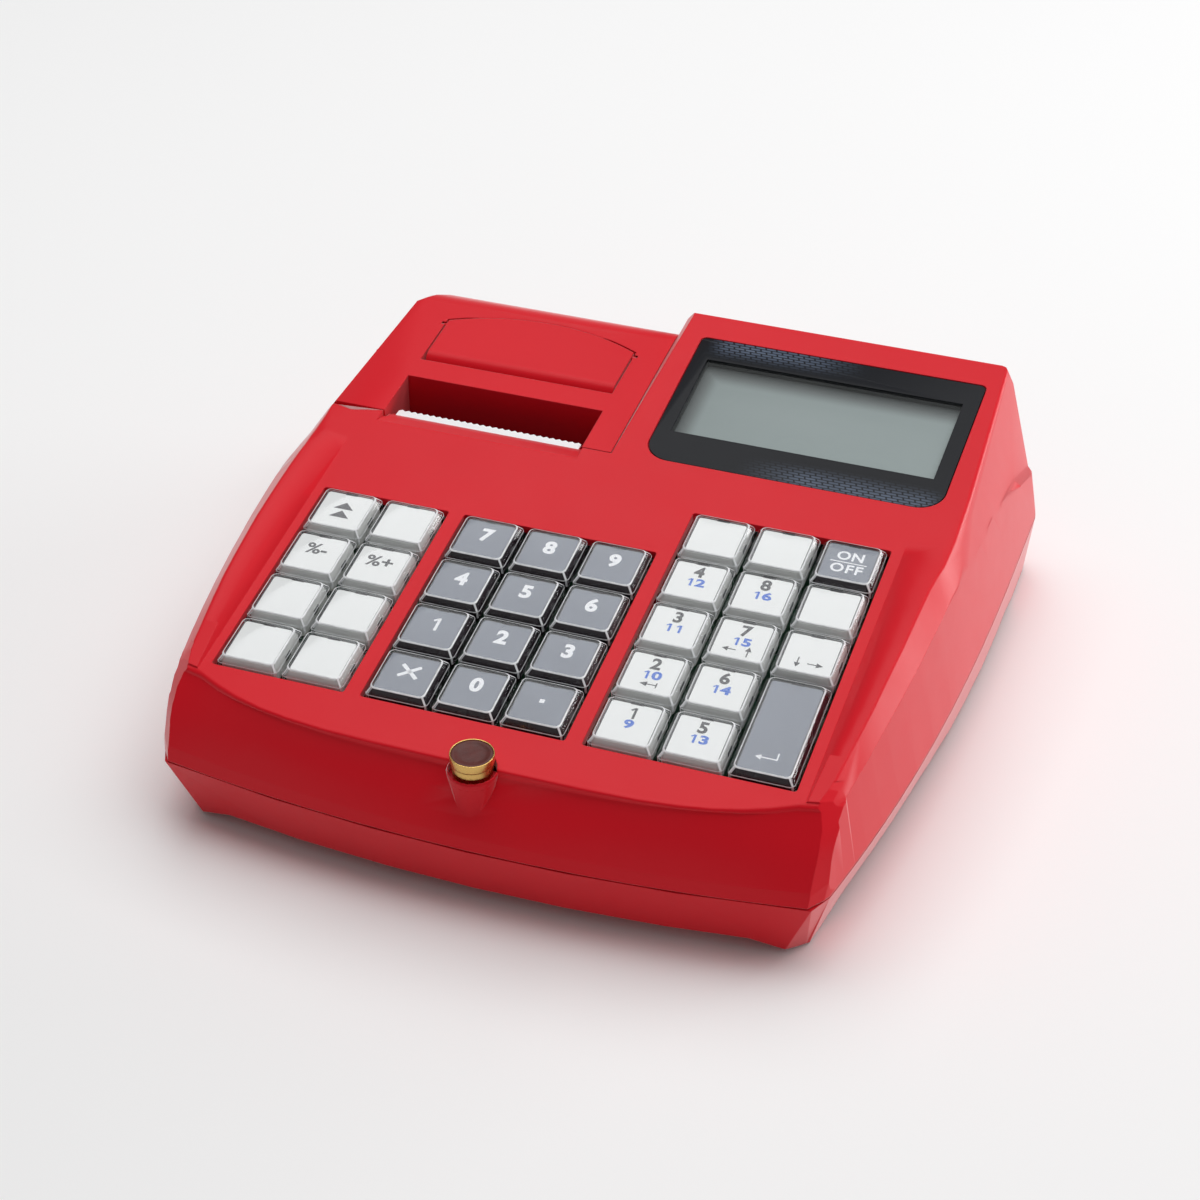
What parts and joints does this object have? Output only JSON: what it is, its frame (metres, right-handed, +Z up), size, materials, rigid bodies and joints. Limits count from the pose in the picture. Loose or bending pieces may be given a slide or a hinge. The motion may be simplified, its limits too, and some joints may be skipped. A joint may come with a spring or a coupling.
{
  "type": "ticket register",
  "caption": "Portable electronic cash register in red plastic with a sloped keyboard, an operator display and a built-in ticket printer under a hinged lid.",
  "frame": {"origin": "on the table under the middle of the register", "axes": "+X to the operator's right, +Y to the back, +Z up"},
  "size_m": [0.216, 0.2099, 0.0681],
  "materials": {
    "red_plastic": "satin",
    "black_plastic": "gloss",
    "key_grey": "clear cover over a grey label on a black cap",
    "key_white": "clear cover over a white label on a white cap",
    "lcd": "liquid crystal display behind a clear pane",
    "brass": "turned",
    "seal_wax": "dark red sealing wax",
    "steel": "bright",
    "rubber": "matt",
    "paper": "thermal paper",
    "circuit_board": "solder mask",
    "dark_window": "tinted clear window"
  },
  "bodies": {
    "housing": {"upper_shell": "red_plastic", "base_shell": "red_plastic", "lid_hinge_pin": "steel", "cutter_bar": "steel", "print_head": "black_plastic", "display_bezel": "black_plastic", "operator_lcd": "lcd", "key_switch_bank": "circuit_board", "customer_window": "dark_window", "customer_lcd": "lcd", "seal_cup": "brass", "seal_wax": "seal_wax", "main_board": "circuit_board", "battery_pack": "black_plastic", "foot_pad_1": "rubber", "foot_pad_2": "rubber", "foot_pad_3": "rubber", "foot_pad_4": "rubber", "case_screw_1": "steel", "case_screw_2": "steel", "case_screw_3": "steel", "case_screw_4": "steel"},
    "lid": {"printer_lid": "red_plastic"},
    "flap": {"lid_release_flap": "red_plastic"},
    "platen": {"platen_roller": "rubber"},
    "roll": {"paper_roll": "paper"},
    "function_key_1_unit": {"function_key_1": "key_white"},
    "function_key_2_unit": {"function_key_2": "key_white"},
    "function_key_3_unit": {"function_key_3": "key_white"},
    "function_key_4_unit": {"function_key_4": "key_white"},
    "function_key_5_unit": {"function_key_5": "key_white"},
    "function_key_6_unit": {"function_key_6": "key_white"},
    "function_key_7_unit": {"function_key_7": "key_white"},
    "function_key_8_unit": {"function_key_8": "key_white"},
    "function_key_9_unit": {"function_key_9": "key_white"},
    "function_key_10_unit": {"function_key_10": "key_white"},
    "function_key_11_unit": {"function_key_11": "key_white"},
    "function_key_12_unit": {"function_key_12": "key_white"},
    "times_key_unit": {"times_key": "key_grey"},
    "digit_key_0_unit": {"digit_key_0": "key_grey"},
    "digit_key_1_unit": {"digit_key_1": "key_grey"},
    "digit_key_2_unit": {"digit_key_2": "key_grey"},
    "digit_key_3_unit": {"digit_key_3": "key_grey"},
    "digit_key_4_unit": {"digit_key_4": "key_grey"},
    "digit_key_5_unit": {"digit_key_5": "key_grey"},
    "digit_key_6_unit": {"digit_key_6": "key_grey"},
    "digit_key_7_unit": {"digit_key_7": "key_grey"},
    "digit_key_8_unit": {"digit_key_8": "key_grey"},
    "digit_key_9_unit": {"digit_key_9": "key_grey"},
    "point_key_unit": {"point_key": "key_grey"},
    "item_key_1_unit": {"item_key_1": "key_white"},
    "item_key_2_unit": {"item_key_2": "key_white"},
    "item_key_3_unit": {"item_key_3": "key_white"},
    "item_key_4_unit": {"item_key_4": "key_white"},
    "item_key_5_unit": {"item_key_5": "key_white"},
    "item_key_6_unit": {"item_key_6": "key_white"},
    "item_key_7_unit": {"item_key_7": "key_white"},
    "item_key_8_unit": {"item_key_8": "key_white"},
    "total_key_unit": {"total_key": "key_grey"},
    "on_off_key_unit": {"on_off_key": "key_grey"}
  },
  "joints": [
    {"name": "lid_hinge", "type": "hinge", "parent": "housing", "child": "lid", "pos_m": [-0.048, 0.093, 0.05194], "axis": [-1, 0, 0], "range_deg": [0, 75]},
    {"name": "flap_pivot", "type": "hinge", "parent": "lid", "child": "flap", "pos_m": [-0.048, 0.0808, 0.06195], "axis": [-1, 0, 0], "range_deg": [0, 22], "stiffness_Nm_per_rad": 0.02, "springref_deg": -17.19},
    {"name": "platen_turn", "type": "hinge", "parent": "lid", "child": "platen", "pos_m": [-0.048, 0.0445, 0.0435], "axis": [1, 0, 0], "continuous": true},
    {"name": "roll_turn", "type": "hinge", "parent": "housing", "child": "roll", "pos_m": [-0.048, 0.072, 0.0296], "axis": [1, 0, 0], "continuous": true},
    {"name": "function_key_1_press", "type": "slide", "parent": "housing", "child": "function_key_1_unit", "axis": [0, 0.1219, -0.9925], "range_m": [0, 0.0035], "stiffness_N_per_m": 100, "springref_m": -0.003},
    {"name": "function_key_2_press", "type": "slide", "parent": "housing", "child": "function_key_2_unit", "axis": [0, 0.1219, -0.9925], "range_m": [0, 0.0035], "stiffness_N_per_m": 100, "springref_m": -0.003},
    {"name": "function_key_3_press", "type": "slide", "parent": "housing", "child": "function_key_3_unit", "axis": [0, 0.1219, -0.9925], "range_m": [0, 0.0035], "stiffness_N_per_m": 100, "springref_m": -0.003},
    {"name": "function_key_4_press", "type": "slide", "parent": "housing", "child": "function_key_4_unit", "axis": [0, 0.1219, -0.9925], "range_m": [0, 0.0035], "stiffness_N_per_m": 100, "springref_m": -0.003},
    {"name": "function_key_5_press", "type": "slide", "parent": "housing", "child": "function_key_5_unit", "axis": [0, 0.1219, -0.9925], "range_m": [0, 0.0035], "stiffness_N_per_m": 100, "springref_m": -0.003},
    {"name": "function_key_6_press", "type": "slide", "parent": "housing", "child": "function_key_6_unit", "axis": [0, 0.1219, -0.9925], "range_m": [0, 0.0035], "stiffness_N_per_m": 100, "springref_m": -0.003},
    {"name": "function_key_7_press", "type": "slide", "parent": "housing", "child": "function_key_7_unit", "axis": [0, 0.1219, -0.9925], "range_m": [0, 0.0035], "stiffness_N_per_m": 100, "springref_m": -0.003},
    {"name": "function_key_8_press", "type": "slide", "parent": "housing", "child": "function_key_8_unit", "axis": [0, 0.1219, -0.9925], "range_m": [0, 0.0035], "stiffness_N_per_m": 100, "springref_m": -0.003},
    {"name": "function_key_9_press", "type": "slide", "parent": "housing", "child": "function_key_9_unit", "axis": [0, 0.1219, -0.9925], "range_m": [0, 0.0035], "stiffness_N_per_m": 100, "springref_m": -0.003},
    {"name": "function_key_10_press", "type": "slide", "parent": "housing", "child": "function_key_10_unit", "axis": [0, 0.1219, -0.9925], "range_m": [0, 0.0035], "stiffness_N_per_m": 100, "springref_m": -0.003},
    {"name": "function_key_11_press", "type": "slide", "parent": "housing", "child": "function_key_11_unit", "axis": [0, 0.1219, -0.9925], "range_m": [0, 0.0035], "stiffness_N_per_m": 100, "springref_m": -0.003},
    {"name": "function_key_12_press", "type": "slide", "parent": "housing", "child": "function_key_12_unit", "axis": [0, 0.1219, -0.9925], "range_m": [0, 0.0035], "stiffness_N_per_m": 100, "springref_m": -0.003},
    {"name": "times_key_press", "type": "slide", "parent": "housing", "child": "times_key_unit", "axis": [0, 0.1219, -0.9925], "range_m": [0, 0.0035], "stiffness_N_per_m": 100, "springref_m": -0.003},
    {"name": "digit_key_0_press", "type": "slide", "parent": "housing", "child": "digit_key_0_unit", "axis": [0, 0.1219, -0.9925], "range_m": [0, 0.0035], "stiffness_N_per_m": 100, "springref_m": -0.003},
    {"name": "digit_key_1_press", "type": "slide", "parent": "housing", "child": "digit_key_1_unit", "axis": [0, 0.1219, -0.9925], "range_m": [0, 0.0035], "stiffness_N_per_m": 100, "springref_m": -0.003},
    {"name": "digit_key_2_press", "type": "slide", "parent": "housing", "child": "digit_key_2_unit", "axis": [0, 0.1219, -0.9925], "range_m": [0, 0.0035], "stiffness_N_per_m": 100, "springref_m": -0.003},
    {"name": "digit_key_3_press", "type": "slide", "parent": "housing", "child": "digit_key_3_unit", "axis": [0, 0.1219, -0.9925], "range_m": [0, 0.0035], "stiffness_N_per_m": 100, "springref_m": -0.003},
    {"name": "digit_key_4_press", "type": "slide", "parent": "housing", "child": "digit_key_4_unit", "axis": [0, 0.1219, -0.9925], "range_m": [0, 0.0035], "stiffness_N_per_m": 100, "springref_m": -0.003},
    {"name": "digit_key_5_press", "type": "slide", "parent": "housing", "child": "digit_key_5_unit", "axis": [0, 0.1219, -0.9925], "range_m": [0, 0.0035], "stiffness_N_per_m": 100, "springref_m": -0.003},
    {"name": "digit_key_6_press", "type": "slide", "parent": "housing", "child": "digit_key_6_unit", "axis": [0, 0.1219, -0.9925], "range_m": [0, 0.0035], "stiffness_N_per_m": 100, "springref_m": -0.003},
    {"name": "digit_key_7_press", "type": "slide", "parent": "housing", "child": "digit_key_7_unit", "axis": [0, 0.1219, -0.9925], "range_m": [0, 0.0035], "stiffness_N_per_m": 100, "springref_m": -0.003},
    {"name": "digit_key_8_press", "type": "slide", "parent": "housing", "child": "digit_key_8_unit", "axis": [0, 0.1219, -0.9925], "range_m": [0, 0.0035], "stiffness_N_per_m": 100, "springref_m": -0.003},
    {"name": "digit_key_9_press", "type": "slide", "parent": "housing", "child": "digit_key_9_unit", "axis": [0, 0.1219, -0.9925], "range_m": [0, 0.0035], "stiffness_N_per_m": 100, "springref_m": -0.003},
    {"name": "point_key_press", "type": "slide", "parent": "housing", "child": "point_key_unit", "axis": [0, 0.1219, -0.9925], "range_m": [0, 0.0035], "stiffness_N_per_m": 100, "springref_m": -0.003},
    {"name": "item_key_1_press", "type": "slide", "parent": "housing", "child": "item_key_1_unit", "axis": [0, 0.1219, -0.9925], "range_m": [0, 0.0035], "stiffness_N_per_m": 100, "springref_m": -0.003},
    {"name": "item_key_2_press", "type": "slide", "parent": "housing", "child": "item_key_2_unit", "axis": [0, 0.1219, -0.9925], "range_m": [0, 0.0035], "stiffness_N_per_m": 100, "springref_m": -0.003},
    {"name": "item_key_3_press", "type": "slide", "parent": "housing", "child": "item_key_3_unit", "axis": [0, 0.1219, -0.9925], "range_m": [0, 0.0035], "stiffness_N_per_m": 100, "springref_m": -0.003},
    {"name": "item_key_4_press", "type": "slide", "parent": "housing", "child": "item_key_4_unit", "axis": [0, 0.1219, -0.9925], "range_m": [0, 0.0035], "stiffness_N_per_m": 100, "springref_m": -0.003},
    {"name": "item_key_5_press", "type": "slide", "parent": "housing", "child": "item_key_5_unit", "axis": [0, 0.1219, -0.9925], "range_m": [0, 0.0035], "stiffness_N_per_m": 100, "springref_m": -0.003},
    {"name": "item_key_6_press", "type": "slide", "parent": "housing", "child": "item_key_6_unit", "axis": [0, 0.1219, -0.9925], "range_m": [0, 0.0035], "stiffness_N_per_m": 100, "springref_m": -0.003},
    {"name": "item_key_7_press", "type": "slide", "parent": "housing", "child": "item_key_7_unit", "axis": [0, 0.1219, -0.9925], "range_m": [0, 0.0035], "stiffness_N_per_m": 100, "springref_m": -0.003},
    {"name": "item_key_8_press", "type": "slide", "parent": "housing", "child": "item_key_8_unit", "axis": [0, 0.1219, -0.9925], "range_m": [0, 0.0035], "stiffness_N_per_m": 100, "springref_m": -0.003},
    {"name": "total_key_press", "type": "slide", "parent": "housing", "child": "total_key_unit", "axis": [0, 0.1219, -0.9925], "range_m": [0, 0.0035], "stiffness_N_per_m": 100, "springref_m": -0.003},
    {"name": "on_off_key_press", "type": "slide", "parent": "housing", "child": "on_off_key_unit", "axis": [0, 0.1219, -0.9925], "range_m": [0, 0.0035], "stiffness_N_per_m": 100, "springref_m": -0.003}
  ]
}
